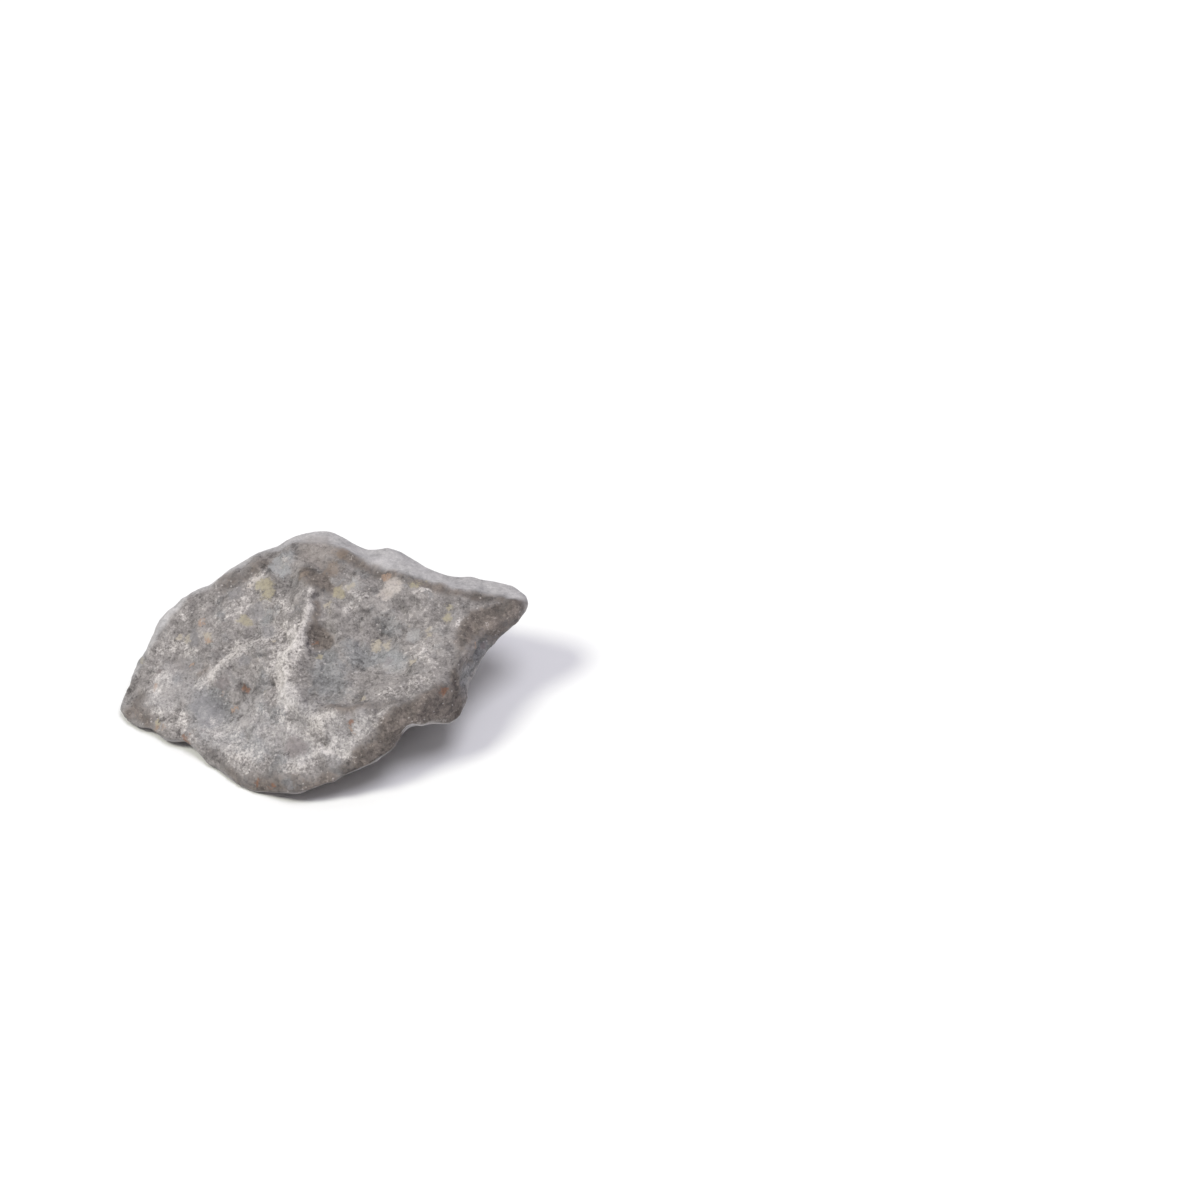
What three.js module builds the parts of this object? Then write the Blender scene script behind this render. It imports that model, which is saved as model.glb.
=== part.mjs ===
// Lunar meteorite: one broken, lightly worn stone.
//
// Millimetres, +Z up. The stone lies on its broad underside. Its largest fracture face is
// tilted up towards -Y, and the right half (+X) overhangs.
// A convex block is spanned by the corners of the fracture faces. Its edges are worn round,
// shell-shaped hollows are sunk into it, low crests are raised, and it is cut flat where it rests.
import * as THREE from 'three';
import { ConvexGeometry } from 'three/addons/geometries/ConvexGeometry.js';
import { mergeVertices } from 'three/addons/utils/BufferGeometryUtils.js';
import { SimplexNoise } from 'three/addons/math/SimplexNoise.js';

// Skin: the sphere it starts from, the point it is stretched out from, and how often it is evened
const HALF_LENGTH = 5.1;
const HALF_DEPTH = 3.4;
const HALF_HEIGHT = 1.8;
const SKIN_DETAIL = 20;
const CORE = [0.1, 0.0, 1.6];
const EVEN_ROUNDS = 120;

// Wear of the edges
const WEAR_ROUNDS = 2;
const WEAR_STRENGTH = 0.5;

// Depth of the flat rest spot cut into the underside
const REST_CUT = 0.04;

// Corners of the fracture faces
const BACK_RIM = [
  [-5.05, 0.4, 0.7],
  [-4.73, 0.87, 1.05],
  [-4.3, 1.85, 1.6],
  [-3.75, 2.25, 1.85],
  [-3.2, 2.5, 2.15],
  [-2.2, 2.8, 2.6],
  [-1.4, 3.1, 2.9],
  [-0.85, 3.35, 3.1],
  [0.0, 3.45, 3.3],
  [0.45, 3.05, 3.3],
  [2.0, 2.3, 3.15],
  [4.3, 1.5, 3.0],
  [5.0, 1.4, 2.95],
];
const TOP_EDGE = [
  [-1.6, 2.75, 2.85],
  [-0.85, 2.75, 3.2],
  [0.45, 2.45, 3.4],
  [1.45, 1.75, 3.3],
  [3.0, 1.1, 3.2],
  [4.85, 0.85, 3.05],
];
const RIGHT_TIP = [
  [5.3, 0.95, 2.8],
  [5.05, 0.65, 2.9],
];
const RIGHT_EDGE = [
  [4.2, -0.45, 2.85],
  [3.6, -0.95, 2.85],
  [3.5, -1.5, 2.5],
  [3.3, -1.95, 2.1],
];
const RIGHT_FOOT = [
  [4.6, 0.3, 2.5],
  [3.42, -1.68, 1.8],
  [3.52, -1.97, 1.55],
];
const LOWER_EDGE = [
  [2.65, -2.35, 2.6],
  [2.0, -2.45, 2.5],
  [1.6, -2.6, 2.25],
  [1.4, -2.95, 1.9],
  [1.1, -3.25, 1.3],
  [0.2, -3.15, 1.0],
  [-1.0, -3.2, 0.75],
  [-1.5, -2.95, 0.5],
];
const FRONT_FOOT = [
  [1.55, -3.25, 1.4],
  [0.95, -3.4, 1.1],
  [0.2, -3.6, 0.8],
  [-0.9, -3.55, 0.4],
  [-1.45, -3.3, 0.15],
];
const LEFT_RIM = [
  [-5.4, -0.15, 0.35],
  [-5.2, -0.35, 0.1],
  [-4.65, -0.42, 0.2],
  [-4.1, -1.2, 0.2],
  [-3.4, -1.75, 0.4],
  [-2.6, -2.3, 0.2],
  [-2.1, -2.75, 0.15],
];
const BACK_FOOT = [
  [-3.9, 1.2, 0.9],
  [-2.0, 3.0, 1.2],
  [0.4, 3.9, 1.5],
  [2.8, 3.0, 1.4],
  [4.2, 1.6, 1.8],
];
const UNDERSIDE = [
  [-5.15, -0.2, 0.08],
  [-4.1, -1.1, 0.08],
  [-2.6, -2.2, 0.05],
  [-1.7, -3.05, 0.05],
  [0.6, -2.0, 0.15],
  [2.4, 0.3, 0.2],
  [2.0, 2.2, 0.3],
  [-0.5, 2.7, 0.25],
  [-3.2, 1.6, 0.25],
];
const REST_SPOT = [
  [-1.9, -1.0, 0],
  [-0.6, -1.6, 0],
  [1.1, -0.8, 0],
  [1.6, 0.6, 0],
  [0.4, 1.7, 0],
  [-1.4, 1.0, 0],
];

// Shell-shaped hollows sunk into the faces: where, how wide, how deep
const HOLLOWS = [
  { name: 'right of the crest', at: [1.35, -0.45, 2.55], radius: 1.9, depth: 0.5 },
  { name: 'dark pocket', at: [-0.1, 0.15, 2.6], radius: 0.55, depth: 0.28 },
  { name: 'under the top edge', at: [1.35, 1.6, 3.1], radius: 0.7, depth: 0.12 },
  { name: 'below the peak', at: [0.55, 1.1, 3.0], radius: 0.6, depth: 0.12 },
  { name: 'lower left', at: [-2.45, -1.2, 1.4], radius: 1.2, depth: 0.25 },
  { name: 'upper left', at: [-1.75, 0.95, 2.35], radius: 0.9, depth: 0.16 },
  { name: 'far left', at: [-3.9, 0.4, 1.5], radius: 0.8, depth: 0.1 },
];

// Bites out of the rim: where, how wide, how far and which way the skin is pushed in
const BITES = [
  { name: 'notch at the lower right', at: [2.4, -2.15, 1.0], radius: 1.15, push: [0, 0.6, 0.4] },
  { name: 'left end of the notch', at: [2.15, -2.75, 1.6], radius: 0.6, push: [-0.05, 0.22, 0.15] },
  { name: 'right side', at: [4.2, -0.6, 2.1], radius: 1.7, push: [-0.33, 0.2, 0] },
  { name: 'arch under the left tip', at: [-4.4, -0.9, 0], radius: 0.4, push: [0, 0.05, 0.2] },
  { name: 'arch under the left rim', at: [-3.45, -1.65, 0], radius: 0.7, push: [0.1, 0.2, 0.25] },
  { name: 'back rim', at: [0.85, 2.8, 3.2], radius: 0.9, push: [0, -0.28, -0.1] },
  { name: 'back rim, right', at: [2.8, 2.1, 3.15], radius: 1.3, push: [0, -0.33, -0.05] },
];

// Low crests: the line they follow, how wide, how high
const CRESTS = [
  {
    name: 'main crest',
    line: [
      [-0.35, 1.9, 3.0],
      [-0.4, 0.5, 2.7],
      [-0.8, -0.6, 2.2],
      [-0.8, -1.3, 2.0],
      [-0.5, -1.9, 1.85],
      [0.5, -2.35, 1.95],
      [1.3, -2.5, 2.2],
    ],
    width: 0.5,
    height: 0.18,
  },
  {
    name: 'left crest',
    line: [[-3.0, -0.6, 1.5], [-1.9, 0.25, 2.1], [-1.2, -0.1, 2.25]],
    width: 0.4,
    height: 0.12,
  },
];

// Uneven breakage over the whole skin
const LUMPS = [
  { size: 1.4, height: 0.06 },
  { size: 0.6, height: 0.04 },
];
const LUMP_SEED = 7;

const stoneMaterial = new THREE.MeshStandardMaterial({
  color: 0x8c8985,
  roughness: 0.92,
  metalness: 0,
});

const toVector = ([x, y, z]) => new THREE.Vector3(x, y, z);

// Planes of the convex block
function blockPlanes(corners) {
  const positions = new ConvexGeometry(corners.map(toVector)).getAttribute('position');
  const planes = [];
  for (let i = 0; i < positions.count; i += 3) {
    const [a, b, c] = [0, 1, 2].map((k) => new THREE.Vector3().fromBufferAttribute(positions, i + k));
    planes.push(new THREE.Plane().setFromCoplanarPoints(a, b, c));
  }
  return planes;
}

// Distance from the core to the block's surface along a direction
function reach(direction, planes, core) {
  let shortest = Infinity;
  for (const plane of planes) {
    const facing = plane.normal.dot(direction);
    if (facing > 1e-6) {
      shortest = Math.min(shortest, -plane.distanceToPoint(core) / facing);
    }
  }
  return shortest;
}

// Point of the block's surface in the direction of another point
function onBlock(point, planes, core) {
  const direction = point.clone().sub(core).normalize();
  return direction.multiplyScalar(reach(direction, planes, core)).add(core);
}

// Closed skin of triangles laid on the convex block
function skinOnBlock(planes, core) {
  const sphere = new THREE.IcosahedronGeometry(1, SKIN_DETAIL);
  sphere.deleteAttribute('normal');
  sphere.deleteAttribute('uv');
  const skin = mergeVertices(sphere, 1e-5);
  const positions = skin.getAttribute('position');
  const stretch = new THREE.Vector3(HALF_LENGTH, HALF_DEPTH, HALF_HEIGHT);
  for (let i = 0; i < positions.count; i += 1) {
    const start = new THREE.Vector3().fromBufferAttribute(positions, i).multiply(stretch).add(core);
    const point = onBlock(start, planes, core);
    positions.setXYZ(i, point.x, point.y, point.z);
  }
  return skin;
}

// Neighbours of every point of the skin
function neighboursOf(skin) {
  const index = skin.getIndex();
  const neighbours = Array.from({ length: skin.getAttribute('position').count }, () => new Set());
  for (let i = 0; i < index.count; i += 3) {
    const corners = [index.getX(i), index.getX(i + 1), index.getX(i + 2)];
    corners.forEach((corner, k) => neighbours[corner].add(corners[(k + 1) % 3]));
    corners.forEach((corner, k) => neighbours[corner].add(corners[(k + 2) % 3]));
  }
  return neighbours;
}

// Every point moves part of the way to the middle of its neighbours
function soften(skin, neighbours, strength) {
  const positions = skin.getAttribute('position');
  const points = neighbours.map((_, i) => new THREE.Vector3().fromBufferAttribute(positions, i));
  neighbours.forEach((around, i) => {
    const middle = new THREE.Vector3();
    around.forEach((j) => middle.add(points[j]));
    middle.divideScalar(around.size);
    const moved = points[i].clone().lerp(middle, strength);
    positions.setXYZ(i, moved.x, moved.y, moved.z);
  });
}

// Triangles of like size all over: softened and laid back on the block in turns
function evenSkin(skin, neighbours, planes, core) {
  const positions = skin.getAttribute('position');
  for (let round = 0; round < EVEN_ROUNDS; round += 1) {
    soften(skin, neighbours, 1);
    for (let i = 0; i < positions.count; i += 1) {
      const point = onBlock(new THREE.Vector3().fromBufferAttribute(positions, i), planes, core);
      positions.setXYZ(i, point.x, point.y, point.z);
    }
  }
}

// Moves every point along the skin's own normal by the height given for its place
function raise(skin, heightAt) {
  skin.computeVertexNormals();
  const positions = skin.getAttribute('position');
  const normals = skin.getAttribute('normal');
  for (let i = 0; i < positions.count; i += 1) {
    const point = new THREE.Vector3().fromBufferAttribute(positions, i);
    const normal = new THREE.Vector3().fromBufferAttribute(normals, i);
    point.addScaledVector(normal, heightAt(point));
    positions.setXYZ(i, point.x, point.y, point.z);
  }
}

// Round-bottomed profile: 1 in the middle, 0 at the given reach
function falloff(distance, radius) {
  const t = Math.max(0, 1 - (distance / radius) ** 2);
  return t * t;
}

// A bite pushes the whole rim one way, so it leaves no undercut
function bite(skin, { at, radius, push }) {
  const centre = toVector(at);
  const positions = skin.getAttribute('position');
  for (let i = 0; i < positions.count; i += 1) {
    const point = new THREE.Vector3().fromBufferAttribute(positions, i);
    point.addScaledVector(toVector(push), falloff(point.distanceTo(centre), radius));
    positions.setXYZ(i, point.x, point.y, point.z);
  }
}

function distanceToLine(point, line) {
  const nearest = new THREE.Vector3();
  let shortest = Infinity;
  for (let i = 0; i + 1 < line.length; i += 1) {
    new THREE.Line3(toVector(line[i]), toVector(line[i + 1])).closestPointToPoint(point, true, nearest);
    shortest = Math.min(shortest, nearest.distanceTo(point));
  }
  return shortest;
}

function seededRandom(seed) {
  let state = seed;
  return () => {
    state = (state * 16807) % 2147483647;
    return state / 2147483647;
  };
}

function breakageHeight(point, noise) {
  let height = 0;
  for (const lump of LUMPS) {
    height += lump.height * noise.noise3d(point.x / lump.size, point.y / lump.size, point.z / lump.size);
  }
  return height;
}

// Flat rest spot, with the origin at the middle of the bottom of the bounding box
function restOnSpot(skin) {
  const positions = skin.getAttribute('position');
  for (let i = 0; i < positions.count; i += 1) {
    positions.setZ(i, Math.max(positions.getZ(i), REST_CUT));
  }
  skin.computeBoundingBox();
  const middle = skin.boundingBox.getCenter(new THREE.Vector3());
  skin.translate(-middle.x, -middle.y, -REST_CUT);
}

function buildStone() {
  const corners = [
    BACK_RIM, TOP_EDGE, RIGHT_TIP, RIGHT_EDGE, RIGHT_FOOT,
    LOWER_EDGE, FRONT_FOOT, LEFT_RIM, BACK_FOOT, UNDERSIDE, REST_SPOT,
  ].flat();
  const planes = blockPlanes(corners);
  const core = toVector(CORE);
  const skin = skinOnBlock(planes, core);
  const neighbours = neighboursOf(skin);
  evenSkin(skin, neighbours, planes, core);
  for (let round = 0; round < WEAR_ROUNDS; round += 1) {
    soften(skin, neighbours, WEAR_STRENGTH);
  }
  BITES.forEach((one) => bite(skin, one));
  for (const hollow of HOLLOWS) {
    const centre = toVector(hollow.at);
    raise(skin, (point) => -hollow.depth * falloff(point.distanceTo(centre), hollow.radius));
  }
  for (const crest of CRESTS) {
    raise(skin, (point) => crest.height * falloff(distanceToLine(point, crest.line), crest.width));
  }
  const noise = new SimplexNoise({ random: seededRandom(LUMP_SEED) });
  raise(skin, (point) => breakageHeight(point, noise));
  restOnSpot(skin);
  skin.computeVertexNormals();
  const stone = new THREE.Mesh(skin, stoneMaterial);
  stone.name = 'stone';
  return stone;
}

const meteorite = new THREE.Group();
meteorite.name = 'meteorite';
meteorite.add(buildStone());

export default meteorite;
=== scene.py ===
# A small lunar meteorite on a pale studio floor.
# The scene is in metres, +Z up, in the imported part's own frame. Tables below are in millimetres.
import math

import bmesh
import bpy
import numpy as np
from mathutils import Matrix, Vector, noise


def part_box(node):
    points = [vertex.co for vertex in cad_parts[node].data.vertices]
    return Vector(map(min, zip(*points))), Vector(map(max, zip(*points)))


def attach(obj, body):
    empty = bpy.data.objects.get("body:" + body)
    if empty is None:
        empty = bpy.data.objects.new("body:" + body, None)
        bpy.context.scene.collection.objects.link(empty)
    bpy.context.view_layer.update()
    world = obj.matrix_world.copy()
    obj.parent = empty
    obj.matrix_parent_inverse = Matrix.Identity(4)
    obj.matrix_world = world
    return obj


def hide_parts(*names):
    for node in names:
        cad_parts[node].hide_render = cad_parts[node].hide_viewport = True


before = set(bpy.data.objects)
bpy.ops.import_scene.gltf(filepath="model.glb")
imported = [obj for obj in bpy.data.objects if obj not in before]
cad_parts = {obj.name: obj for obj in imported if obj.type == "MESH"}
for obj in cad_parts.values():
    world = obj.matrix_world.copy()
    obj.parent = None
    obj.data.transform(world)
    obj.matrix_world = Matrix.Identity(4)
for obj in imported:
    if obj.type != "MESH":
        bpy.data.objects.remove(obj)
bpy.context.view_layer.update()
scene = bpy.context.scene


# ---- The stone ----
# One natural fragment of grey lunar breccia, never worked. Its outside is worn smooth, and one
# large broken face is rough, dusted with white and set with small cream, olive and rusty clasts.
# It lies loose on a small flat spot under its middle.

MM = 0.001
SHAPE_SPLITS = 2
SPLIT_EASE = 0.35
WELD_DISTANCE = 0.002 * MM

# Outline of the rough broken face, seen from above, and how softly it ends
BROKEN_FACE = [
    (-5.2, -0.55), (-5.13, 0.02), (-4.89, 0.33), (-4.36, 1.06), (-3.86, 1.75), (-3.23, 2.18),
    (-2.46, 2.45), (-1.63, 2.68), (-0.85, 2.73), (0.0, 2.62), (0.42, 2.38), (0.72, 2.1),
    (1.44, 1.76), (1.95, 1.48), (2.97, 1.06), (3.98, 0.9), (4.85, 0.7), (5.15, 0.65),
    (4.6, -0.1), (3.95, -0.85), (3.7, -1.3), (3.75, -2.0), (3.5, -2.4), (2.8, -2.9),
    (2.0, -3.1), (1.7, -3.3), (1.4, -3.6), (0.74, -3.7), (-0.5, -3.75), (-1.6, -3.5),
    (-2.35, -2.9), (-3.15, -2.2), (-3.6, -1.85), (-4.4, -1.3), (-5.1, -1.0),
]
BROKEN_FACE_BLEND = 0.1
# It also ends where the stone turns under: how far the surface faces up there
BROKEN_FACE_LEAN = (-0.4, 0.0)

# The darker facets, by the tip and down to the front rim, partly brown stain and partly painted shade
# where they turn away from the lamps: how dark, and the outline in plan
DARK_FACETS = [
    (0.95, [
        (3.64, 0.24), (3.99, 0.4), (4.5, 0.66), (5.3, 0.9), (5.15, 0.55), (4.8, 0.2),
        (4.42, -0.08), (4.0, -0.45), (3.62, -0.9), (3.4, -1.15), (3.4, -0.66),
    ]),
    (1.0, [
        (3.42, -1.1), (3.3, -1.5), (3.15, -1.85), (2.75, -2.15), (2.31, -2.5), (1.66, -2.68),
        (1.41, -2.95), (1.1, -3.2), (0.48, -3.38), (0.5, -4.0), (2.5, -4.0), (4.0, -2.5),
        (3.55, -1.75), (3.5, -1.3),
    ]),
    (0.75, [
        (-2.2, -2.75), (-1.5, -3.1), (-0.9, -3.35), (-0.28, -3.45), (0.48, -3.38), (0.5, -4.0),
        (-2.5, -4.0),
    ]),
]
DARK_FACET_BLEND = 0.2
# They too fade out where the stone turns under
DARK_FACET_LEAN = (-0.8, 0.0)

# The hidden underside is painted darker than the worn back, as painted shade under the stone: how
# strongly, and from which lean. The lean is half the surface's own and half that of an egg with this
# middle and these half sizes
UNDERSIDE_PAINTED_SHADE = 1.1
UNDERSIDE_SHADE_LEAN = (-0.95, -0.4)
EGG_MIDDLE = (0.0, 0.0, 1.7)
EGG_HALF_SIZES = (5.2, 3.7, 1.7)

# Drawn lines and patches wander by this much, in waves of this size, from a fixed chance number
WANDER_REACH = 0.1
WANDER_SIZE = 0.45
WANDER_SEED = 10

# Crisp arrises where fracture faces meet: how steeply they rise, then the line, how wide, how high
ARRIS_CURVE = 1.5
ARRISES = [
    ([(-3.1, 2.02, 2.11), (-2.42, 2.31, 2.42), (-1.6, 2.6, 2.8), (-0.87, 2.66, 3.12)], 0.25, 0.03),
    ([(-0.87, 2.66, 3.12), (0.0, 2.6, 3.25), (0.42, 2.38, 3.3), (0.73, 2.1, 3.27)], 0.3, 0.05),
    ([(0.73, 2.1, 3.27), (1.44, 1.76, 3.22), (1.95, 1.48, 3.22), (2.97, 1.06, 3.15)], 0.3, 0.05),
    ([(2.97, 1.06, 3.15), (3.98, 0.9, 3.04), (4.8, 0.62, 2.98)], 0.3, 0.05),
    ([(4.92, 0.52, 2.93), (4.37, -0.05, 2.84), (3.75, -0.74, 2.79), (3.43, -1.23, 2.73)], 0.3, 0.06),
    ([(3.43, -1.23, 2.73), (3.42, -1.7, 2.3), (3.25, -1.98, 2.23)], 0.3, 0.04),
    ([(3.25, -1.98, 2.23), (2.64, -2.47, 2.51), (1.88, -2.61, 2.41), (1.46, -2.81, 2.26)], 0.3, 0.05),
    ([(-0.33, 1.29, 3.04), (-0.4, 0.4, 2.75), (-0.6, 0.0, 2.5), (-0.8, -0.6, 2.2)], 0.2, 0.06),
    ([(-0.8, -0.6, 2.2), (-0.95, -1.1, 1.85), (-0.75, -1.6, 1.85), (-0.3, -2.2, 1.75)], 0.3, 0.06),
    ([(-0.6, 0.0, 2.5), (-1.19, 0.33, 2.24), (-2.17, 0.18, 1.84), (-3.0, -0.42, 1.25)], 0.25, 0.03),
    ([(3.74, 0.07, 2.97), (3.6, -0.5, 2.9)], 0.2, 0.05),
]

# Hollows broken out of the faces: the line, how wide, how deep
HOLLOWS = [
    ([(-0.1, 0.9, 2.88), (-0.05, 0.33, 2.71), (0.05, -0.42, 2.37)], 0.4, 0.08),
    ([(0.05, -0.42, 2.37), (-0.09, -1.05, 2.19), (0.3, -1.75, 2.05)], 0.5, 0.09),
    ([(-0.1, 0.11, 2.35)], 0.25, -0.06),
    ([(-2.97, -0.93, 1.01), (-2.72, -1.08, 0.93)], 0.7, 0.08),
    ([(-1.46, 0.94, 2.24)], 0.4, 0.06),
    ([(-1.22, 2.19, 2.89)], 0.35, 0.06),
    ([(1.59, -0.02, 2.6)], 0.6, 0.05),
    ([(0.09, 0.52, 2.8)], 0.15, 0.06),
    ([(-2.1, -0.73, 1.37)], 0.15, 0.06),
    ([(4.5, 0.3, 2.9), (3.9, 0.2, 3.0)], 0.4, 0.05),
    ([(4.4, -0.1, 2.6), (3.9, -0.6, 2.5)], 0.3, 0.06),
    ([(-1.3, -0.9, 1.65)], 0.35, 0.06),
    ([(-3.5, 0.3, 1.25)], 0.5, 0.05),
    ([(0.5, 1.15, 2.95)], 0.35, 0.05),
    ([(4.3, -0.15, 2.75), (3.75, -0.8, 2.72), (3.6, -1.2, 2.5)], 0.15, 0.05),
]

# White dust caught on the crests, and one painted highlight along a rim edge: the line, how far it
# spreads, how thick
DUST_AND_HIGHLIGHT = [
    ([(-0.33, 1.2, 3.01), (-0.35, 0.95, 2.95), (-0.37, 0.7, 2.88)], 0.1, 1.3),
    ([(-0.37, 0.7, 2.88), (-0.37, 0.4, 2.8), (-0.56, 0.0, 2.53)], 0.2, 1.4),
    ([(-0.6, -0.05, 2.48), (-0.82, -0.33, 2.29)], 0.3, 1.2),
    ([(-0.75, -0.4, 2.25), (-0.91, -0.85, 2.08), (-1.0, -1.08, 1.8)], 0.5, 1.0),
    ([(-1.0, -1.08, 1.8), (-0.74, -1.74, 1.81), (-0.48, -2.12, 1.74), (-0.12, -2.44, 1.76)], 0.55, 0.85),
    ([(-0.56, 0.0, 2.53), (-1.19, 0.33, 2.24), (-1.8, 0.23, 2.07), (-2.17, 0.18, 1.84)], 0.6, 0.75),
    ([(-1.5, 0.35, 2.15), (-1.9, 0.2, 2.0)], 0.35, 0.95),
    ([(-2.17, 0.18, 1.84), (-2.55, -0.12, 1.65)], 0.2, 1.0),
    ([(-2.62, -0.2, 1.58), (-2.93, -0.42, 1.29)], 0.14, 1.2),
    ([(-2.93, -0.42, 1.29), (-3.24, -0.42, 1.16)], 0.3, 0.85),
    ([(-0.94, 0.95, 2.56), (-1.21, 1.34, 2.63), (-1.84, 1.74, 2.48)], 0.35, 0.6),
    ([(-1.84, 1.95, 2.55), (-1.6, 2.1, 2.7)], 0.25, 0.9),
    ([(-2.1, 1.55, 2.35), (-2.3, 1.2, 2.15)], 0.4, 0.6),
    ([(-0.98, -0.11, 2.26), (-0.99, -0.83, 2.0)], 0.7, 0.65),
    ([(-2.44, -2.17, 0.63), (-1.93, -2.09, 0.86)], 0.22, 1.0),
    ([(-2.18, -2.49, 0.62), (-1.87, -2.43, 0.74)], 0.2, 0.7),
    ([(-0.79, -3.08, 0.98), (-0.43, -3.18, 1.01), (-0.07, -2.95, 1.27), (0.18, -2.98, 1.37)], 0.4, 0.7),
    ([(0.85, -2.8, 2.02), (1.41, -2.83, 2.24), (1.66, -2.68, 2.31)], 0.2, 0.95),
    ([(0.13, -3.02, 1.33), (0.64, -3.19, 1.42)], 0.4, 0.85),
    ([(-4.18, 0.15, 0.99), (-4.28, -0.22, 0.78)], 0.6, 0.5),
    ([(-4.4, 0.88, 1.23), (-3.78, 0.81, 1.35), (-3.26, 0.47, 1.51)], 0.3, 0.6),
    ([(-2.81, -1.36, 0.78), (-2.72, -1.21, 0.85)], 0.18, 0.75),
    ([(1.15, 1.03, 3.08), (0.9, 0.79, 2.97), (0.59, 0.57, 2.82)], 0.22, 0.75),
    ([(2.42, 0.83, 3.19), (2.67, 0.88, 3.17)], 0.1, 0.95),
    ([(1.58, 1.2, 3.13), (1.86, 1.0, 3.18)], 0.3, 0.65),
    ([(2.6, -0.9, 2.7), (2.3, -1.4, 2.65)], 0.5, 0.35),
    ([(3.45, -0.2, 2.93), (3.55, 0.1, 2.98)], 0.15, 0.6),
    ([(2.5, -1.86, 2.63), (2.0, -2.13, 2.54), (1.5, -2.32, 2.38)], 0.4, 0.6),
    # Painted highlight along the rim edge under the corner
    ([(2.06, -2.7, 1.65), (2.45, -2.71, 2.0), (2.79, -2.5, 1.85), (3.19, -2.32, 1.7)], 0.14, 0.6),
    ([(-1.31, -1.8, 1.42), (-0.79, -2.41, 1.29), (-0.02, -2.68, 1.53)], 0.9, 0.45),
    ([(-3.59, 1.68, 1.8), (-3.69, 1.36, 1.67)], 0.25, 0.6),
    ([(-2.8, -1.5, 0.75), (-2.2, -2.3, 0.65), (-1.6, -2.6, 0.8)], 0.8, 0.55),
    ([(-4.2, -0.6, 0.6), (-3.5, -1.2, 0.65)], 0.5, 0.45),
    ([(0.4, -2.9, 1.6), (0.8, -3.0, 1.8), (1.2, -2.9, 2.05)], 0.45, 0.85),
    ([(-0.2, -2.3, 1.8), (0.5, -2.6, 1.95)], 0.4, 0.6),
    ([(-1.4, -2.0, 1.2), (-1.2, -2.7, 0.95)], 0.7, 0.5),
]

# Brown weathering stain along the rims and in pockets; the first line, in the pocket, and the line beside
# the crest are partly painted shade on the crest's dark side
STAIN_AND_SHADE_LINES = [
    ([(-0.17, 0.14, 2.4), (-0.02, 0.03, 2.29)], 0.45, 1.5),
    ([(-0.44, 1.73, 3.15), (-0.18, 1.51, 3.11), (0.18, 1.3, 3.03)], 0.45, 1.1),
    ([(-0.09, 1.88, 3.16), (0.3, 1.56, 3.13)], 0.35, 0.6),
    ([(0.42, 2.15, 3.33), (0.73, 1.93, 3.29), (1.31, 1.65, 3.18), (1.75, 1.45, 3.18)], 0.4, 0.8),
    ([(2.0, 1.35, 3.2), (2.72, 1.0, 3.17), (3.23, 0.85, 3.13), (3.86, 0.75, 3.05)], 0.25, 0.75),
    ([(3.86, 0.75, 3.05), (4.49, 0.7, 3.05)], 0.35, 0.9),
    ([(-2.54, 2.1, 2.31), (-2.16, 2.2, 2.52), (-1.77, 2.25, 2.77), (-1.49, 2.35, 2.87)], 0.45, 0.75),
    ([(0.23, -2.15, 2.03), (0.75, -2.52, 2.16), (1.38, -2.5, 2.34), (2.01, -2.43, 2.48)], 0.3, 0.6),
    ([(-4.74, -0.3, 0.58), (-4.84, -0.51, 0.43), (-4.42, -0.91, 0.38)], 0.4, 0.7),
    ([(-3.67, 0.37, 1.16), (-3.14, -0.12, 1.37)], 0.45, 0.5),
    ([(3.13, -1.98, 2.47), (3.0, -2.23, 2.28)], 0.3, 0.8),
    ([(-0.12, 0.88, 2.89), (-0.15, 0.36, 2.75), (-0.1, 0.22, 2.47)], 0.2, 0.7),
    ([(-2.9, -2.1, 0.44), (-2.44, -2.6, 0.35), (-2.07, -2.93, 0.31)], 0.3, 0.6),
]

# Bluish grey patches of finer matrix
BLUE = [
    ([(-2.97, -0.93, 1.01), (-2.67, -1.12, 0.91), (-3.12, -1.19, 0.83)], 0.8, 1.0),
    ([(-3.82, 0.0, 1.06)], 0.35, 0.8),
    ([(-2.2, -1.9, 0.8), (-1.7, -2.4, 0.85), (-1.1, -2.9, 0.9)], 0.6, 0.7),
    ([(-1.5, -1.4, 1.45), (-1.1, -1.9, 1.5)], 0.4, 0.8),
    ([(-1.46, 0.94, 2.24), (-1.21, 1.0, 2.39)], 0.4, 0.8),
    ([(-2.7, 1.25, 2.04), (-2.81, 1.54, 2.05)], 0.4, 0.6),
    ([(-1.33, 2.22, 2.86), (-1.12, 2.06, 2.87), (-0.97, 2.29, 3.0)], 0.4, 1.1),
    ([(0.2, -0.57, 2.33), (0.09, -1.3, 2.14), (0.35, -1.74, 2.03)], 0.75, 1.0),
    ([(0.7, -0.46, 2.32), (1.21, -0.69, 2.25), (1.78, -0.87, 2.41)], 0.7, 1.0),
    ([(4.9, 0.3, 2.7), (4.4, -0.1, 2.5), (3.9, -0.6, 2.4), (3.6, -1.2, 2.1)], 0.5, 1.2),
    ([(-3.0, -1.4, 0.75), (-2.6, -1.5, 0.85)], 0.4, 0.9),
    ([(-0.83, -3.51, 0.66)], 0.3, 1.2),
    ([(-1.45, -0.72, 1.8), (-1.53, -1.01, 1.55)], 0.45, 0.7),
    ([(1.97, -0.05, 2.69), (1.46, 0.28, 2.74)], 0.6, 0.6),
    ([(0.99, 1.61, 3.18)], 0.3, 0.9),
]


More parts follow.
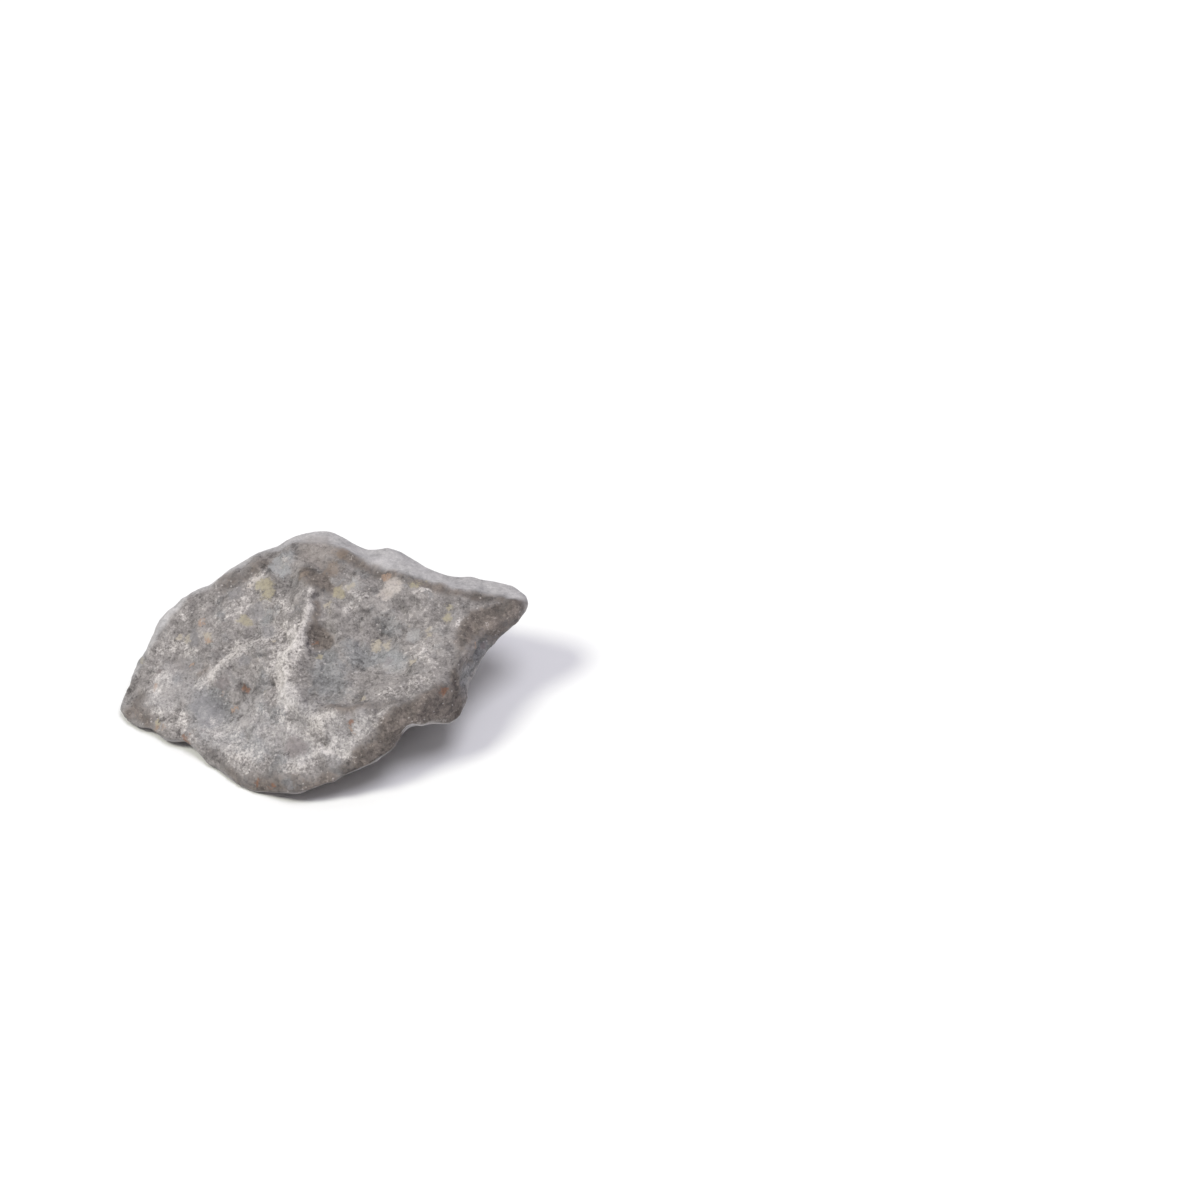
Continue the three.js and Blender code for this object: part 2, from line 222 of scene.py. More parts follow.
def split_and_ease(shape):
    """Every triangle becomes four, and the points ease towards their neighbours, so no facets show."""
    bmesh.ops.subdivide_edges(shape, edges=shape.edges[:], cuts=1, use_grid_fill=True)
    eased = []
    for corner in shape.verts:
        middle = sum((edge.other_vert(corner).co for edge in corner.link_edges), Vector())
        eased.append(corner.co.lerp(middle / len(corner.link_edges), SPLIT_EASE))
    for corner, place in zip(shape.verts, eased):
        corner.co = place


def skin_of(node):
    """Closed, finely divided copy of a node's loose triangles."""
    shape = bmesh.new()
    shape.from_mesh(node.data)
    bmesh.ops.remove_doubles(shape, verts=shape.verts[:], dist=WELD_DISTANCE)
    for _ in range(SHAPE_SPLITS):
        split_and_ease(shape)
    mesh = bpy.data.meshes.new("stone_skin")
    shape.to_mesh(mesh)
    shape.free()
    mesh.polygons.foreach_set("use_smooth", np.ones(len(mesh.polygons), bool))
    return mesh


def points_of(mesh):
    flat = np.empty(len(mesh.vertices) * 3, np.float32)
    mesh.vertices.foreach_get("co", flat)
    return flat.reshape(-1, 3).astype(float) / MM


def normals_of(mesh):
    flat = np.empty(len(mesh.vertices) * 3, np.float32)
    mesh.vertex_normals.foreach_get("vector", flat)
    return flat.reshape(-1, 3).astype(float)


def move_points(mesh, points):
    mesh.vertices.foreach_set("co", (points * MM).astype(np.float32).ravel())
    mesh.update()


def distance_to_line(points, line):
    line = np.array(line, float)
    if len(line) == 1:
        return np.linalg.norm(points - line[0], axis=1)
    nearest = np.full(len(points), np.inf)
    for start, end in zip(line[:-1], line[1:]):
        along = end - start
        share = np.clip((points - start) @ along / (along @ along), 0, 1)
        nearest = np.minimum(nearest, np.linalg.norm(points - start - share[:, None] * along, axis=1))
    return nearest


def inside_outline(points, outline):
    """Distance from an outline in plan, above 0 inside it."""
    corners = np.array(outline, float)
    ends = np.roll(corners, -1, axis=0)
    crossings = np.zeros(len(points), int)
    nearest = np.full(len(points), np.inf)
    for start, end in zip(corners, ends):
        along = end - start
        share = np.clip((points - start) @ along / (along @ along), 0, 1)
        nearest = np.minimum(nearest, np.linalg.norm(points - start - share[:, None] * along, axis=1))
        spans = (start[1] > points[:, 1]) != (end[1] > points[:, 1])
        across = start[0] + (points[:, 1] - start[1]) / (along[1] if along[1] else 1) * along[0]
        crossings += spans & (points[:, 0] < across)
    return np.where(crossings % 2, nearest, -nearest)


def wander(points):
    """The points nudged about, so that lines and patches measured from them come out ragged."""
    noise.seed_set(WANDER_SEED)
    nudge = [noise.noise_vector(Vector(point) / WANDER_SIZE) for point in points]
    return points + WANDER_REACH * np.array(nudge)


def smooth_step(low, high, value):
    share = np.clip((value - low) / (high - low), 0, 1)
    return share * share * (3 - 2 * share)


def keep_mark(mesh, name, values):
    mark = mesh.attributes.new(name, "FLOAT", "POINT")
    mark.data.foreach_set("value", values.astype(np.float32))


def cover(points, patches):
    """How strongly each point is covered by patches, each a line with a reach and a strength."""
    most = np.zeros(len(points))
    for line, reach, strength in patches:
        most = np.maximum(most, strength * (1 - smooth_step(0, reach, distance_to_line(points, line))))
    return most


skin = skin_of(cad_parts["stone"])
points = points_of(skin)
normals = normals_of(skin)
ragged_points = wander(points)
raised = np.zeros(len(points))
for line, reach, height in ARRISES:
    raised += height * np.clip(1 - distance_to_line(ragged_points, line) / reach, 0, 1) ** ARRIS_CURVE
for line, reach, depth in HOLLOWS:
    raised -= depth * np.clip(1 - (distance_to_line(ragged_points, line) / reach) ** 2, 0, 1) ** 2
move_points(skin, points + raised[:, None] * normals)

broken = smooth_step(
    -BROKEN_FACE_BLEND, BROKEN_FACE_BLEND, inside_outline(ragged_points[:, :2], BROKEN_FACE)
)
broken *= smooth_step(*BROKEN_FACE_LEAN, normals[:, 2])
keep_mark(skin, "broken", broken)
keep_mark(skin, "dust", cover(ragged_points, DUST_AND_HIGHLIGHT))
stain = cover(ragged_points, STAIN_AND_SHADE_LINES)
# The darker facets join the stain mark as partly stain and partly painted shade.
facing_up = smooth_step(*DARK_FACET_LEAN, normals[:, 2])
for strength, outline in DARK_FACETS:
    inside = inside_outline(ragged_points[:, :2], outline)
    inside = smooth_step(-DARK_FACET_BLEND, DARK_FACET_BLEND, inside)
    stain = np.maximum(stain, strength * inside * facing_up)
# Painted shade: the underside is darkened, the more so the more it faces down.
egg_normals = (points - EGG_MIDDLE) / np.square(EGG_HALF_SIZES)
egg_normals /= np.linalg.norm(egg_normals, axis=1)[:, None]
lean = (normals[:, 2] + egg_normals[:, 2]) / 2
stain = np.maximum(stain, UNDERSIDE_PAINTED_SHADE * (1 - smooth_step(*UNDERSIDE_SHADE_LEAN, lean)))
# The stain mark holds brown stain and painted shade, on the darker facets and the underside.
keep_mark(skin, "stain", stain)
keep_mark(skin, "blue", cover(ragged_points, BLUE))


class Wire:
    """One output of a node. Arithmetic on it adds Math nodes to the tree being made."""

    tree = None

    def __init__(self, socket):
        self.socket = socket

    @classmethod
    def add(cls, kind, settings=None, inputs=None, output=0):
        """A node of any type: its settings first, then the values or links of its sockets."""
        node = cls.tree.nodes.new(kind)
        for name, value in (settings or {}).items():
            if name == "stops":
                cls.set_stops(node.color_ramp, value)
            elif name == "interpolation":
                node.color_ramp.interpolation = value
            else:
                setattr(node, name, value)
        for name, value in (inputs or {}).items():
            if isinstance(value, Wire):
                cls.tree.links.new(value.socket, node.inputs[name])
            else:
                node.inputs[name].default_value = value
        return cls(node.outputs[output]) if node.outputs else None

    @staticmethod
    def set_stops(ramp, stops):
        while len(ramp.elements) < len(stops):
            ramp.elements.new(1.0)
        for element, (position, colour) in zip(ramp.elements, stops):
            element.position = position
            element.color = colour

    def out(self, name):
        """Another output of the same node."""
        return Wire(self.socket.node.outputs[name])

    @classmethod
    def reckon(cls, operation, *values):
        """A Math node."""
        return cls.add("ShaderNodeMath", {"operation": operation}, dict(enumerate(values)))

    def __add__(self, other):
        return Wire.reckon("ADD", self, other)

    def __sub__(self, other):
        return Wire.reckon("SUBTRACT", self, other)

    def __mul__(self, other):
        return Wire.reckon("MULTIPLY", self, other)

    def __rsub__(self, other):
        return Wire.reckon("SUBTRACT", other, self)

    __radd__ = __add__
    __rmul__ = __mul__


def between(low, high, value):
    """0 at low and under, 1 at high and over, smooth between them."""
    return Wire.add(
        "ShaderNodeMapRange",
        {"interpolation_type": "SMOOTHSTEP"},
        {"Value": value, "From Min": low, "From Max": high},
    )


def grain(place, fineness, detail=2.0, roughness=0.5):
    """Noise from 0 to 1, with that many lumps a millimetre."""
    return Wire.add(
        "ShaderNodeTexNoise",
        {},
        {"Vector": place, "Scale": fineness, "Detail": detail, "Roughness": roughness},
    )


def crystals(place, fineness):
    """Cells, with that many a millimetre."""
    return Wire.add("ShaderNodeTexVoronoi", {}, {"Vector": place, "Scale": fineness})


def vector(operation, *values, **named):
    """A Vector Math node."""
    return Wire.add("ShaderNodeVectorMath", {"operation": operation}, {**dict(enumerate(values)), **named})


def ruffle(place, nudge, reach):
    """A place moved about by a noise's colour, up to that far."""
    middle = vector("SUBTRACT", place, (reach / 2,) * 3)
    return vector("MULTIPLY_ADD", nudge.out("Color"), (reach,) * 3, middle)


def chances(pattern):
    """Three chance values from a pattern's colour."""
    return Wire.add("ShaderNodeSeparateXYZ", {}, {0: pattern.out("Color")})


def swing(patterns, strengths):
    """Patterns taken from their middle, each times its strength, in one sum."""
    total = None
    for pattern, strength in zip(patterns, strengths):
        part = (pattern - 0.5) * strength
        total = part if total is None else total + part
    return total


def blend(share, one, other):
    """One colour at share 0, the other at 1."""
    return Wire.add(
        "ShaderNodeMix",
        {"data_type": "RGBA"},
        {"Factor": share, 6: one, 7: other},
        output=2,
    )


# The broken face is crumbly, with small pits between grains; the worn outside has only faint lumps.
FACE_RELIEF = {
    "Lump size": 0.75,
    "Lump height": 0.2,
    "Crumb size": 0.26,
    "Crumb height": 0.13,
    "Grain size": 0.12,
    "Grain height": 0.04,
    "Pit size": 0.45,
    "Pit depth": 0.07,
    "Worn share": 0.2,
}
# How many finer layers the lumps and crumbs carry, and how strongly
LUMP_DETAIL = 2.0
CRUMB_DETAIL = 4.0
CRUMB_ROUGHNESS = 0.6
# How far a pit's edge is pushed about, and from where to where its wall goes down
PIT_RUFFLE = 0.25
PIT_WALL = (0.08, 0.3)


def new_tree(name):
    tree = bpy.data.node_groups.new(name, "GeometryNodeTree")
    tree.is_modifier = True
    return tree


def per(size):
    """How many of that size go in a millimetre."""
    return Wire.reckon("DIVIDE", 1.0, size)


def make_relief_tree(material):
    tree = new_tree("broken_face_relief")
    face = tree.interface
    face.new_socket("Stone", in_out="INPUT", socket_type="NodeSocketGeometry")
    for name, value in FACE_RELIEF.items():
        face.new_socket(name, in_out="INPUT", socket_type="NodeSocketFloat").default_value = value
    for name in ("Lowest corner", "Highest corner"):
        face.new_socket(name, in_out="INPUT", socket_type="NodeSocketVector")
    face.new_socket("Stone", in_out="OUTPUT", socket_type="NodeSocketGeometry")
    Wire.tree = tree
    given = Wire.add("NodeGroupInput")
    position = Wire.add("GeometryNodeInputPosition")
    place = vector("SCALE", position, Scale=1 / MM)
    lumps = grain(place, per(given.out("Lump size")), LUMP_DETAIL) - 0.5
    crumbs = grain(place, per(given.out("Crumb size")), CRUMB_DETAIL, CRUMB_ROUGHNESS)
    loose = ruffle(place, crumbs, PIT_RUFFLE)
    grains = crystals(loose, per(given.out("Grain size"))).out("Distance") - 0.5
    pits = 1 - between(*PIT_WALL, crystals(loose, per(given.out("Pit size"))).out("Distance"))
    rough = Wire.add("GeometryNodeInputNamedAttribute", {"data_type": "FLOAT"}, {"Name": "broken"})
    worn = given.out("Worn share")
    share = rough * (1 - worn) + worn
    height = (crumbs - 0.5) * given.out("Crumb height") - grains * given.out("Grain height")
    height = height + lumps * given.out("Lump height") - pits * given.out("Pit depth") * rough
    moved = vector("SCALE", Wire.add("GeometryNodeInputNormal"), Scale=height * share * MM)
    raised = vector("ADD", position, moved)
    kept_over = vector("MAXIMUM", raised, given.out("Lowest corner"))
    kept_under = vector("MINIMUM", kept_over, given.out("Highest corner"))
    stone = Wire.add("GeometryNodeSetPosition", {}, {"Geometry": given, "Position": kept_under})
    stone = Wire.add("GeometryNodeRealizeInstances", {}, {"Geometry": stone})
    stone = Wire.add("GeometryNodeSetMaterial", {}, {"Geometry": stone, "Material": material})
    Wire.add("NodeGroupOutput", {}, {"Stone": stone})
    return tree


def paint(red, green, blue):
    """Linear colour of a screen colour from 0 to 255."""
    return tuple(((part / 255 + 0.055) / 1.055) ** 2.4 for part in (red, green, blue)) + (1.0,)


# Colours of the rock
DARK_GRAIN = paint(84, 80, 79)
PALE_GRAIN = paint(178, 172, 170)
BLUE_DARK = paint(82, 81, 82)
BLUE_PALE = paint(168, 167, 168)
WORN_DARK = paint(154, 152, 154)
WORN_PALE = paint(206, 203, 204)
# Stain colours, also painting shade on the darker facets and the underside
STAIN_AND_SHADE_DARK = paint(24, 19, 17)
STAIN_AND_SHADE_PALE = paint(137, 126, 119)
# Dust colours, also painting a highlight along one rim edge
DUST_AND_HIGHLIGHT_DARK = paint(150, 143, 140)
DUST_AND_HIGHLIGHT_PALE = paint(230, 224, 221)

# Colours of the clasts
CREAM = paint(184, 174, 158)
PEARL = paint(196, 187, 181)
RUST = paint(132, 96, 76)
OLIVE = paint(170, 161, 137)
ORANGE = paint(172, 145, 126)
MAUVE = paint(130, 121, 121)
MILK = paint(200, 197, 199)
SLATE = paint(140, 138, 141)
SAND = paint(160, 150, 144)
TAN = paint(136, 120, 106)
SKY = paint(160, 160, 162)
HAZE = paint(178, 179, 181)
BLACK = paint(66, 62, 61)
SUGAR = paint(212, 206, 204)

# Clasts: colour, how solid, then where each lies and its radius
CLASTS = [
    (MILK, 0.26, [
        (-3.9, -0.3, 0.85, 0.55), (-3.5, 0.1, 1.1, 0.5), (-3.3, -0.5, 1.1, 0.4),
        (-2.3, -1.8, 0.75, 0.6), (-1.8, -1.5, 1.1, 0.5), (-2.9, -1.4, 0.75, 0.4), (-1.6, -2.2, 1.0, 0.6),
        (-0.9, -2.5, 1.2, 0.5), (-0.5, -2.9, 1.2, 0.4), (-0.85, -1.5, 1.8, 0.35), (-0.5, -2.0, 1.75, 0.4),
        (0.5, -2.9, 1.7, 0.45), (0.9, -2.75, 2.0, 0.35), (0.2, -3.1, 1.35, 0.3),
    ]),
    (SLATE, 0.6, [
        (-1.65, 1.23, 2.22, 0.22), (-1.38, 0.44, 2.17, 0.2), (-1.95, -0.21, 1.85, 0.16),
        (-0.7, 0.75, 2.7, 0.14), (-2.3, 1.7, 2.4, 0.2), (-3.3, 0.9, 1.6, 0.2),
        (-0.83, -3.51, 0.66, 0.14), (-2.9, -1.15, 0.85, 0.35), (-3.1, -0.95, 0.95, 0.25),
    ]),
    (SAND, 0.4, [(-0.23, 2.45, 3.25, 0.5), (0.15, 2.2, 3.25, 0.3)]),
    (TAN, 0.55, [(0.2, 1.83, 3.2, 0.22), (0.5, 2.21, 3.33, 0.2), (-0.54, 1.66, 3.09, 0.14)]),
    (MAUVE, 0.6, [(-2.49, -0.47, 1.44, 0.16), (-2.59, -0.51, 1.37, 0.12), (-0.66, -2.7, 1.21, 0.3)]),
    (OLIVE, 0.8, [
        (-1.58, 1.75, 2.58, 0.2), (-1.5, 1.55, 2.5, 0.15), (-1.45, 1.4, 2.52, 0.08),
        (-1.95, 0.99, 2.06, 0.17), (2.27, 1.13, 3.23, 0.1), (2.47, 1.12, 3.2, 0.12),
        (2.67, 1.16, 3.16, 0.1), (3.19, 0.12, 3.0, 0.14),
        (0.46, 1.1, 2.93, 0.16), (3.18, 0.43, 3.06, 0.1),
    ]),
    (SKY, 0.75, [
        (-1.3, 2.15, 2.86, 0.16), (-1.15, 2.3, 2.93, 0.15), (-1.05, 2.15, 2.93, 0.17),
        (-0.92, 2.05, 2.92, 0.13), (-1.1, 1.98, 2.83, 0.12),
    ]),
    (PEARL, 0.8, [
        (1.76, 1.09, 3.17, 0.27), (1.61, 0.93, 3.1, 0.18), (-1.69, 2.02, 2.64, 0.12),
        (-1.9, 1.85, 2.5, 0.1),
    ]),
    (HAZE, 0.35, [
        (1.88, -0.96, 2.43, 0.3), (1.46, -0.58, 2.33, 0.25), (1.7, -0.7, 2.4, 0.3),
        (0.4, 1.4, 3.1, 0.16), (0.8, 1.3, 3.1, 0.16), (2.3, -0.3, 2.7, 0.2),
    ]),
    (CREAM, 0.75, [
        (-2.9, 0.77, 1.78, 0.1), (-2.9, 0.58, 1.69, 0.08), (0.13, 0.81, 2.85, 0.08),
        (0.14, 0.57, 2.83, 0.09),
        (2.76, -0.2, 2.86, 0.1), (2.76, -0.43, 2.83, 0.1), (1.61, -0.33, 2.44, 0.13),
        (1.31, -0.26, 2.35, 0.12), (1.02, -2.11, 2.23, 0.1), (-3.73, 0.96, 1.49, 0.1),
        (-3.5, 0.91, 1.56, 0.08), (0.74, 1.23, 3.05, 0.1),
    ]),
    (ORANGE, 0.75, [
        (-2.33, -1.11, 1.03, 0.09), (-3.46, 0.23, 1.26, 0.06), (1.62, 1.42, 3.14, 0.1),
        (0.72, -2.81, 1.85, 0.09), (-4.26, -1.05, 0.37, 0.08), (-4.02, -1.26, 0.46, 0.08),
        (-2.9, 0.68, 1.74, 0.09),
    ]),
    (RUST, 0.85, [
        (-2.0, -0.82, 1.38, 0.11), (3.1, -2.01, 2.46, 0.12), (-3.42, -1.66, 0.52, 0.09),
        (-0.14, -0.02, 2.27, 0.05), (0.7, -2.7, 2.03, 0.1), (-1.61, -3.16, 0.38, 0.07),
        (-1.25, -3.36, 0.46, 0.06), (2.57, -2.52, 1.67, 0.07),
        (0.09, 0.48, 2.78, 0.06),
    ]),
    (BLACK, 0.8, [
        (-4.1, -1.0, 0.56, 0.08), (-3.58, -1.55, 0.52, 0.09), (0.81, 1.57, 3.18, 0.07),
        (1.04, 1.65, 3.18, 0.05), (2.39, -0.94, 2.68, 0.05), (0.09, 0.4, 2.74, 0.06),
        (-2.12, -1.35, 1.01, 0.07), (-2.28, -1.37, 0.93, 0.06), (0.66, -3.36, 1.23, 0.07),
        (-0.92, -2.82, 1.02, 0.06), (-1.5, 2.2, 2.8, 0.1), (-1.38, 2.05, 2.78, 0.08),
    ]),
    (SUGAR, 0.85, [
        (2.43, -0.59, 2.7, 0.05), (3.19, -0.2, 2.92, 0.03), (3.52, 0.03, 2.98, 0.06),
        (0.13, -3.0, 1.35, 0.12), (-2.81, -1.36, 0.78, 0.08),
    ]),
]
# How a clast's edge comes in, and how the fine noise breaks it up
CLAST_EDGE = (-0.35, 0.3)
CLAST_SPECKLE = (0.1, 0.6)
CLAST_RUFFLE = 1.0

# Scattered small clasts: colours in equal shares, cells a millimetre, which cells have one and how
# large, its edge, and how solid it is on the worn outside and on the broken face
SCATTER = [CREAM, OLIVE, MAUVE, BLACK, ORANGE]
SCATTER_FINENESS = 1.7
SCATTER_LUCK = (0.35, 1.0)
SCATTER_SIZE = 0.2
SCATTER_EDGE = (-0.03, 0.05)
SCATTER_SOLID = (0.2, 0.7)

# The noises that colour the rock: lumps a millimetre, detail, roughness
MOTTLE = (1.3, 7.0, 0.8)
FINE = (15.0, 3.0, 0.8)
# Its grains: cells a millimetre, and how far the fine noise ruffles them
GRAIN_FINENESS = 8.0
GRAIN_RUFFLE = 0.06

# How strongly the mottle, the fine noise and the grains show in the pepper of the rock, in the edge
# of the stain and painted shade and in the dust and painted highlight
PEPPER_SWINGS = (2.1, 1.3, 0.3)
STAIN_AND_SHADE_SWINGS = (3.0, 1.0)
DUST_AND_HIGHLIGHT_SWINGS = (2.7, 2.4, 0.5)
BLUE_SWING = 4.0

WORN_STRENGTH = 0.85
BLUE_EDGE = (0.1, 1.0)
STAIN_AND_SHADE_EDGE = (0.1, 1.0)
STAIN_AND_SHADE_STRENGTH = 0.9
# How ragged the stain and painted shade are, on the worn outside and on the broken face
STAIN_AND_SHADE_RAGGED = (0.3, 1.0)

# The dust and painted highlight: how much its place counts, its edge, how solid the grainy and the even
# part of it are, and how much the stain and painted shade keep it off
DUST_AND_HIGHLIGHT_PULL = 0.9
DUST_AND_HIGHLIGHT_EDGE = (0.25, 1.1)
DUST_AND_HIGHLIGHT_GRAINY = 0.85
DUST_AND_HIGHLIGHT_EVEN = 0.1
DUST_AND_HIGHLIGHT_OFF_STAIN_AND_SHADE = 0.2

# Tiny specks, white ones partly pale grains and partly painted glints, and black: cells a millimetre, how
# a speck ends, the luck that gives one, how solid
SPECK_FINENESS = 13.0
SPECK_EDGE = (0.45, 0.2)
WHITE_SPECK_AND_GLINT_LUCK = (0.95, 0.97)
WHITE_SPECK_AND_GLINT_SOLID = 0.45
BLACK_SPECK_LUCK = (0.9, 0.93)
BLACK_SPECK_SOLID = 0.55

# Fine bumps: how strong, how high, the mottle's share, and on the worn outside and the broken face
BUMP_STRENGTH = 0.9
BUMP_HEIGHT = 0.03 * MM
BUMP_MOTTLE = 1.5
BUMP_SHARES = (0.2, 1.0)
# Roughness on the worn outside and on the broken face
ROUGHNESSES = (0.6, 0.9)


def clast_mask(place, spots):
    """1 in the clasts, 0 outside."""
    mask = None
    for x, y, z, radius in spots:
        offset = vector("DISTANCE", place, (x, y, z))
        depth = (radius - offset.out("Value")) * (1 / radius)
        mask = depth if mask is None else Wire.reckon("MAXIMUM", mask, depth)
    return between(*CLAST_EDGE, mask)


def scattered(place):
    """Share and colour of small clasts strewn through the whole rock."""
    cells = crystals(place, SCATTER_FINENESS)
    luck = chances(cells)
    size = between(*SCATTER_LUCK, luck.out("X")) * SCATTER_SIZE
    share = between(*SCATTER_EDGE, size - cells.out("Distance"))
    stops = [(number / len(SCATTER), colour) for number, colour in enumerate(SCATTER)]
    settings = {"stops": stops, "interpolation": "CONSTANT"}
    return share, Wire.add("ShaderNodeValToRGB", settings, {"Fac": luck.out("Y")})


def mark(name):
    return Wire.add("ShaderNodeAttribute", {"attribute_name": name}).out("Fac")


def from_worn(broken, values):
    """The first value on the worn outside, the second on the broken face."""
    on_worn, on_broken = values
    return broken * (on_broken - on_worn) + on_worn


def make_breccia():
    material = bpy.data.materials.new("lunar_breccia")
    material.use_nodes = True
    Wire.tree = material.node_tree
    Wire.tree.nodes.clear()
    place = Wire.add(
        "ShaderNodeMapping",
        {},
        {"Vector": Wire.add("ShaderNodeTexCoord").out("Object"), "Scale": (1 / MM, 1 / MM, 1 / MM)},
    )
    mottle = grain(place, *MOTTLE)
    fine = grain(place, *FINE)
    grains = chances(crystals(ruffle(place, fine, GRAIN_RUFFLE), GRAIN_FINENESS))
    broken = mark("broken")

    pepper = swing((mottle, fine, grains.out("X")), PEPPER_SWINGS) + 0.5
    rock = blend(pepper, DARK_GRAIN, PALE_GRAIN)
    rock = blend((1 - broken) * WORN_STRENGTH, rock, blend(pepper, WORN_DARK, WORN_PALE))

    tint = chances(mottle).out("Z")
    blue = between(*BLUE_EDGE, mark("blue") + (tint - 0.5) * BLUE_SWING)
    rock = blend(blue, rock, blend(pepper, BLUE_DARK, BLUE_PALE))

    # Brown stain, with painted shade on the darker facets, beside the crest and on the underside
    spread = swing((mottle, fine), STAIN_AND_SHADE_SWINGS) * from_worn(broken, STAIN_AND_SHADE_RAGGED)
    stain = between(*STAIN_AND_SHADE_EDGE, mark("stain") + spread)
    rock = blend(stain * STAIN_AND_SHADE_STRENGTH, rock, blend(pepper, STAIN_AND_SHADE_DARK, STAIN_AND_SHADE_PALE))

    # White dust, and a painted highlight along one rim edge
    dust = mark("dust") * DUST_AND_HIGHLIGHT_PULL + swing((mottle, fine, grains.out("Y")), DUST_AND_HIGHLIGHT_SWINGS)
    dust = between(*DUST_AND_HIGHLIGHT_EDGE, dust - stain * DUST_AND_HIGHLIGHT_OFF_STAIN_AND_SHADE) * DUST_AND_HIGHLIGHT_GRAINY + mark("dust") * DUST_AND_HIGHLIGHT_EVEN
    rock = blend(dust * broken, rock, blend(pepper, DUST_AND_HIGHLIGHT_DARK, DUST_AND_HIGHLIGHT_PALE))

    specks = crystals(place, SPECK_FINENESS)
    luck = chances(specks)
    core = between(*SPECK_EDGE, specks.out("Distance")) * broken
    # White specks: pale grains and painted glints
    white_speck_and_glint = between(*WHITE_SPECK_AND_GLINT_LUCK, luck.out("X")) * core * WHITE_SPECK_AND_GLINT_SOLID
    black = between(*BLACK_SPECK_LUCK, luck.out("Y")) * core * BLACK_SPECK_SOLID
    rock = blend(black, blend(white_speck_and_glint, rock, SUGAR), BLACK)

    ragged = ruffle(place, mottle, CLAST_RUFFLE)
    share, colour = scattered(ragged)
    rock = blend(share * from_worn(broken, SCATTER_SOLID), rock, colour)
    for colour, solid, spots in CLASTS:
        rock = blend(clast_mask(ragged, spots) * between(*CLAST_SPECKLE, fine) * solid, rock, colour)

    height = (fine + mottle * BUMP_MOTTLE) * from_worn(broken, BUMP_SHARES)
    bump = Wire.add(
        "ShaderNodeBump", {}, {"Strength": BUMP_STRENGTH, "Distance": BUMP_HEIGHT, "Height": height}
    )
    shader = Wire.add(
        "ShaderNodeBsdfPrincipled",
        {},
        {"Base Color": rock, "Roughness": from_worn(broken, ROUGHNESSES), "Normal": bump},
    )
    Wire.add("ShaderNodeOutputMaterial", {}, {"Surface": shader})
    return material


def plain_mesh(mesh, tree, values):
    """The mesh that a Geometry Nodes tree makes of a mesh."""
    piece = bpy.data.objects.new("shaping", mesh)
    scene.collection.objects.link(piece)
    step = piece.modifiers.new("relief", "NODES")
    step.node_group = tree
    for item in tree.interface.items_tree:
        if item.in_out == "INPUT" and item.name in values:
            step[item.identifier] = values[item.name]
    shown = piece.evaluated_get(bpy.context.evaluated_depsgraph_get())
    made = bpy.data.meshes.new_from_object(shown)
    piece.modifiers.remove(step)
    bpy.data.objects.remove(piece)
    return made


breccia = make_breccia()
lowest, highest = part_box("stone")
made = plain_mesh(
    skin,
    make_relief_tree(breccia),
    {**FACE_RELIEF, "Lowest corner": tuple(lowest), "Highest corner": tuple(highest)},
)
made.name = "meteorite_stone"
stone = bpy.data.objects.new("meteorite_stone", made)
scene.collection.objects.link(stone)
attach(stone, "root")
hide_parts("stone")


# ---- The floor ----
# A plain sheet of matt white paper, lying flat under the stone.

FLOOR_HALF = 1.0
FLOOR_WHITE = 0.9

floor_mesh = bpy.data.meshes.new("paper_floor")
corners = [(x * FLOOR_HALF, y * FLOOR_HALF, 0) for x, y in ((-1, -1), (1, -1), (1, 1), (-1, 1))]
floor_mesh.from_pydata(corners, [], [(0, 1, 2, 3)])
floor = bpy.data.objects.new("paper_floor", floor_mesh)
scene.collection.objects.link(floor)
paper = bpy.data.materials.new("white_paper")
paper.use_nodes = True
Wire.tree = paper.node_tree
Wire.tree.nodes.clear()
sheet = Wire.add("ShaderNodeBsdfDiffuse", {}, {"Color": (FLOOR_WHITE, FLOOR_WHITE, FLOOR_WHITE, 1)})
Wire.add("ShaderNodeOutputMaterial", {}, {"Surface": sheet})
floor_mesh.materials.append(paper)


# ---- Lights and camera ----
# Two soft studio lamps, one from the left and one from the front, under a wide white ceiling sheet
# in a dim room. The camera looks down on the stone through a long lens.

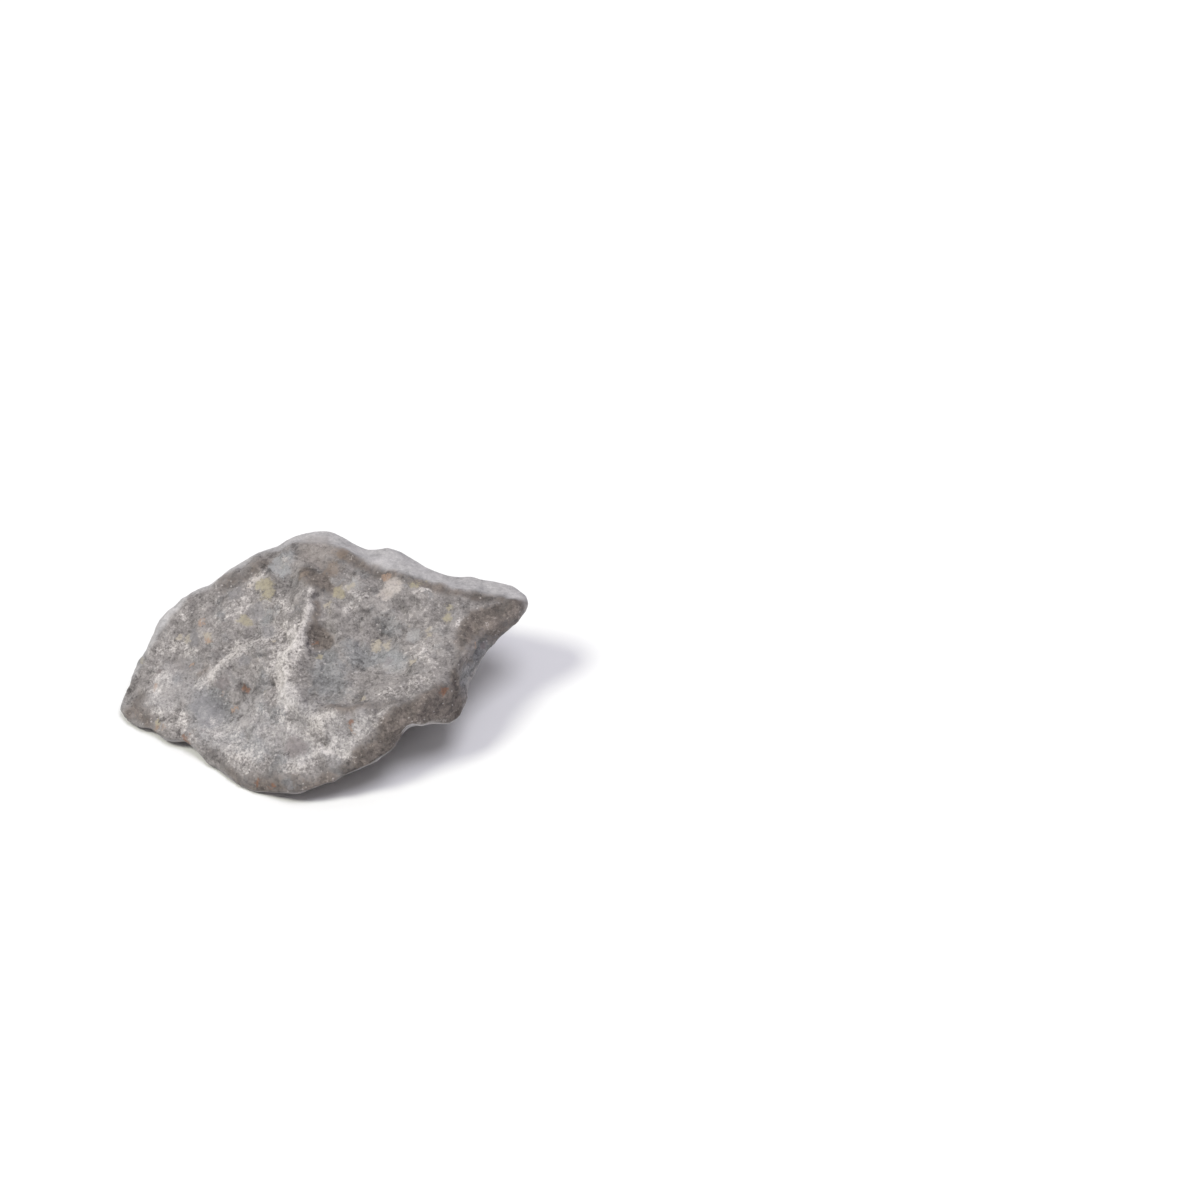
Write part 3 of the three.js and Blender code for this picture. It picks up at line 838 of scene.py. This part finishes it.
# Name, which way its light travels, how wide it looks, and what it adds to the floor's brightness
LAMPS = [
    ("left_lamp", (0.463, 0.285, -0.834), 15.0, (0.4, 0.405, 0.355)),
    ("front_lamp", (-0.16, 0.24, -0.96), 24.0, (0.35, 0.35, 0.38)),
    ("ceiling_sheet", (0.0, 0.05, -1.0), 110.0, (0.17, 0.165, 0.18)),
]
ROOM_GLOW = (0.14, 0.135, 0.145)

CAMERA_PLACE = (0.0086365, -0.158382, 0.146181)
CAMERA_TURN = math.radians(0.581)
CAMERA_RISE = math.radians(41.99)
CAMERA_ROLL = math.radians(-0.795)
CAMERA_LENS = 253.8
CAMERA_SENSOR = 36
CAMERA_NEAR = 0.01
CAMERA_FAR = 10

for name, travel, width, share in LAMPS:
    lamp = bpy.data.lights.new(name, "SUN")
    direction = Vector(travel).normalized()
    lamp.energy = max(share) * math.pi / (FLOOR_WHITE * -direction.z)
    lamp.color = [part / max(share) for part in share]
    lamp.angle = math.radians(width)
    holder = bpy.data.objects.new(name, lamp)
    holder.rotation_euler = direction.to_track_quat("-Z", "Y").to_euler()
    scene.collection.objects.link(holder)

room = bpy.data.worlds.new("white_room")
room.use_nodes = True
room_colour = (*[part / FLOOR_WHITE for part in ROOM_GLOW], 1)
room.node_tree.nodes["Background"].inputs["Color"].default_value = room_colour
scene.world = room

back = Vector(
    (
        math.sin(CAMERA_TURN) * math.cos(CAMERA_RISE),
        -math.cos(CAMERA_TURN) * math.cos(CAMERA_RISE),
        math.sin(CAMERA_RISE),
    )
)
level = Vector((math.cos(CAMERA_TURN), math.sin(CAMERA_TURN), 0))
upright = back.cross(level)
right = level * math.cos(CAMERA_ROLL) + upright * math.sin(CAMERA_ROLL)
up = upright * math.cos(CAMERA_ROLL) - level * math.sin(CAMERA_ROLL)
camera = bpy.data.objects.new("camera", bpy.data.cameras.new("camera"))
camera.data.lens = CAMERA_LENS
camera.data.sensor_width = CAMERA_SENSOR
camera.data.clip_start = CAMERA_NEAR
camera.data.clip_end = CAMERA_FAR
camera.matrix_world = Matrix((right, up, back)).transposed().to_4x4()
camera.location = CAMERA_PLACE
scene.collection.objects.link(camera)
scene.camera = camera
scene.view_settings.view_transform = "Standard"
